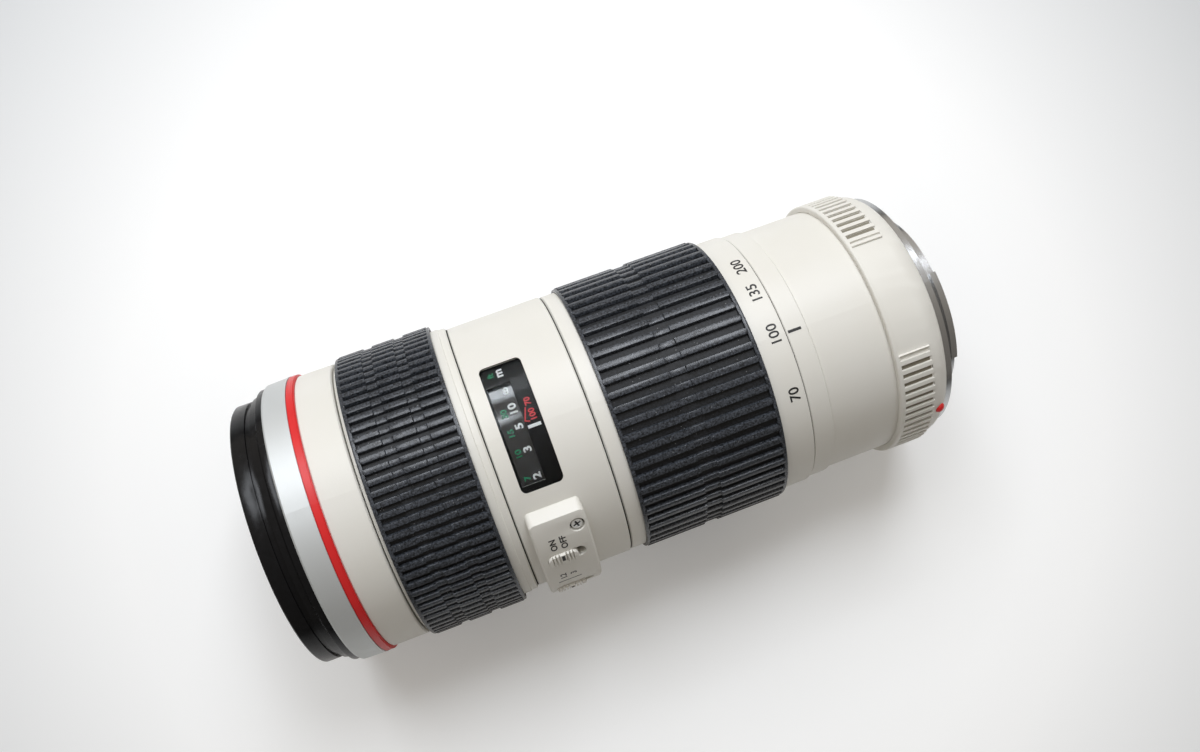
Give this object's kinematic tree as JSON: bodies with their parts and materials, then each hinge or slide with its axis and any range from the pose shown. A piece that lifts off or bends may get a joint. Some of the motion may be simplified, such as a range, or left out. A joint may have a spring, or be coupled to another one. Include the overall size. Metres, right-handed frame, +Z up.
{
  "type": "telephoto zoom lens",
  "caption": "White telephoto zoom lens with ribbed rubber focus and zoom rings, a distance window, a switch panel and a bayonet; cams move its inner lens groups.",
  "frame": {"origin": "centre of the bayonet flange's seating face", "axes": "+X along the optical axis from the front glass to the camera, +Z up through the distance window"},
  "size_m": [0.1782, 0.0774, 0.076],
  "materials": {
    "white_paint": "smooth warm white enamel",
    "black_metal": "satin black anodised aluminium",
    "black_plastic": "moulded black plastic",
    "dark_rubber": "matte ribbed rubber",
    "silver_metal": "satin turned aluminium",
    "red_enamel": "glossy red enamel",
    "optical_glass": "polished and coated",
    "window_pane": "clear acrylic pane",
    "mount_steel": "turned and plated",
    "screw_steel": "plated",
    "gold_plate": "plated contact",
    "circuit_board": "resin board",
    "brass_comb": "machined comb",
    "cream_plastic": "moulded white plastic"
  },
  "bodies": {
    "barrel": {"filter_ring": "black_metal", "name_ring": "silver_metal", "red_ring": "red_enamel", "front_barrel": "white_paint", "mid_barrel": "white_paint", "rear_barrel": "white_paint", "rear_cover": "white_paint", "index_dot": "red_enamel", "backbone_barrel": "black_metal", "guide_barrel": "black_metal", "cam_stop_ring": "silver_metal", "distance_window": "window_pane", "index_plate": "black_plastic", "switch_panel": "cream_plastic", "panel_screws": "screw_steel", "bayonet_mount": "mount_steel", "mount_screws": "screw_steel", "rear_baffle": "black_plastic", "contact_block": "black_plastic", "contact_pins": "gold_plate", "main_board": "circuit_board", "front_cell": "black_metal", "front_retainer": "black_metal", "front_lenses": "optical_glass", "motor_stator": "brass_comb", "motor_rotor": "silver_metal", "iris_housing": "black_metal", "iris_motor": "brass_comb", "relay_cell": "black_metal", "relay_lenses": "optical_glass"},
    "focus_ring": {"focus_ring": "white_paint", "focus_grip": "dark_rubber", "manual_ring": "silver_metal"},
    "scale_drum": {"scale_drum": "black_metal", "drive_rollers": "screw_steel"},
    "focus_group": {"focus_cell": "black_metal", "focus_lenses": "optical_glass", "focus_followers": "screw_steel"},
    "zoom_ring": {"zoom_ring": "white_paint", "zoom_grip": "dark_rubber", "zoom_key": "screw_steel", "cam_barrel": "black_metal"},
    "variator": {"variator_cell": "black_metal", "variator_lenses": "optical_glass", "variator_followers": "screw_steel"},
    "compensator": {"compensator_cell": "black_metal", "compensator_lens": "optical_glass", "compensator_followers": "screw_steel"},
    "iris_ring": {"iris_drive_ring": "silver_metal", "iris_magnet": "mount_steel"},
    "af_switch": {"af_slider": "cream_plastic"},
    "limit_switch": {"limit_slider": "cream_plastic"},
    "iris_blade_1": {"iris_blade_1": "black_metal"},
    "iris_blade_2": {"iris_blade_2": "black_metal"},
    "iris_blade_3": {"iris_blade_3": "black_metal"},
    "iris_blade_4": {"iris_blade_4": "black_metal"},
    "iris_blade_5": {"iris_blade_5": "black_metal"},
    "iris_blade_6": {"iris_blade_6": "black_metal"},
    "iris_blade_7": {"iris_blade_7": "black_metal"},
    "iris_blade_8": {"iris_blade_8": "black_metal"}
  },
  "joints": [
    {"name": "focus_turn", "type": "hinge", "parent": "barrel", "child": "focus_ring", "pos_m": [-0.13, 0, 0], "axis": [1, 0, 0], "range_deg": [-72, 36]},
    {"name": "scale_turn", "type": "hinge", "parent": "barrel", "child": "scale_drum", "pos_m": [-0.11, 0, 0], "axis": [1, 0, 0], "range_deg": [-36, 18]},
    {"name": "focus_slide", "type": "slide", "parent": "barrel", "child": "focus_group", "axis": [1, 0, 0], "range_m": [-0.006, 0.003]},
    {"name": "zoom_turn", "type": "hinge", "parent": "barrel", "child": "zoom_ring", "pos_m": [-0.065, 0, 0], "axis": [1, 0, 0], "range_deg": [-24, 36]},
    {"name": "variator_slide", "type": "slide", "parent": "barrel", "child": "variator", "axis": [1, 0, 0], "range_m": [-0.0072, 0.0108]},
    {"name": "compensator_slide", "type": "slide", "parent": "barrel", "child": "compensator", "axis": [1, 0, 0], "range_m": [-0.0048, 0.0032]},
    {"name": "iris_turn", "type": "hinge", "parent": "barrel", "child": "iris_ring", "pos_m": [-0.0455, 0, 0], "axis": [1, 0, 0], "range_deg": [0, 20]},
    {"name": "iris_blade_1_turn", "type": "hinge", "parent": "barrel", "child": "iris_blade_1", "pos_m": [-0.0476, -0.01485, 0.01485], "axis": [1, 0, 0], "range_deg": [0, 35]},
    {"name": "iris_blade_2_turn", "type": "hinge", "parent": "barrel", "child": "iris_blade_2", "pos_m": [-0.0476, -0.021, 0], "axis": [1, 0, 0], "range_deg": [0, 35]},
    {"name": "iris_blade_3_turn", "type": "hinge", "parent": "barrel", "child": "iris_blade_3", "pos_m": [-0.0476, -0.01485, -0.01485], "axis": [1, 0, 0], "range_deg": [0, 35]},
    {"name": "iris_blade_4_turn", "type": "hinge", "parent": "barrel", "child": "iris_blade_4", "pos_m": [-0.0476, 0, -0.021], "axis": [1, 0, 0], "range_deg": [0, 35]},
    {"name": "iris_blade_5_turn", "type": "hinge", "parent": "barrel", "child": "iris_blade_5", "pos_m": [-0.0476, 0.01485, -0.01485], "axis": [1, 0, 0], "range_deg": [0, 35]},
    {"name": "iris_blade_6_turn", "type": "hinge", "parent": "barrel", "child": "iris_blade_6", "pos_m": [-0.0476, 0.021, 0], "axis": [1, 0, 0], "range_deg": [0, 35]},
    {"name": "iris_blade_7_turn", "type": "hinge", "parent": "barrel", "child": "iris_blade_7", "pos_m": [-0.0476, 0.01485, 0.01485], "axis": [1, 0, 0], "range_deg": [0, 35]},
    {"name": "iris_blade_8_turn", "type": "hinge", "parent": "barrel", "child": "iris_blade_8", "pos_m": [-0.0476, 0, 0.021], "axis": [1, 0, 0], "range_deg": [0, 35]},
    {"name": "af_slide", "type": "slide", "parent": "barrel", "child": "af_switch", "axis": [1, 0, 0], "range_m": [0, 0.002]},
    {"name": "limit_slide", "type": "slide", "parent": "barrel", "child": "limit_switch", "axis": [1, 0, 0], "range_m": [0, 0.002]}
  ],
  "couplings": [
    {"joint": "scale_turn", "follows": "focus_turn", "ratio": 0.5},
    {"joint": "focus_slide", "follows": "focus_turn", "m_per_rad": 0.0047756},
    {"joint": "variator_slide", "follows": "zoom_turn", "m_per_rad": 0.017189},
    {"joint": "compensator_slide", "follows": "zoom_turn", "m_per_rad": -0.0076375},
    {"joint": "iris_blade_1_turn", "follows": "iris_turn", "ratio": 1.75},
    {"joint": "iris_blade_2_turn", "follows": "iris_turn", "ratio": 1.75},
    {"joint": "iris_blade_3_turn", "follows": "iris_turn", "ratio": 1.75},
    {"joint": "iris_blade_4_turn", "follows": "iris_turn", "ratio": 1.75},
    {"joint": "iris_blade_5_turn", "follows": "iris_turn", "ratio": 1.75},
    {"joint": "iris_blade_6_turn", "follows": "iris_turn", "ratio": 1.75},
    {"joint": "iris_blade_7_turn", "follows": "iris_turn", "ratio": 1.75},
    {"joint": "iris_blade_8_turn", "follows": "iris_turn", "ratio": 1.75}
  ]
}
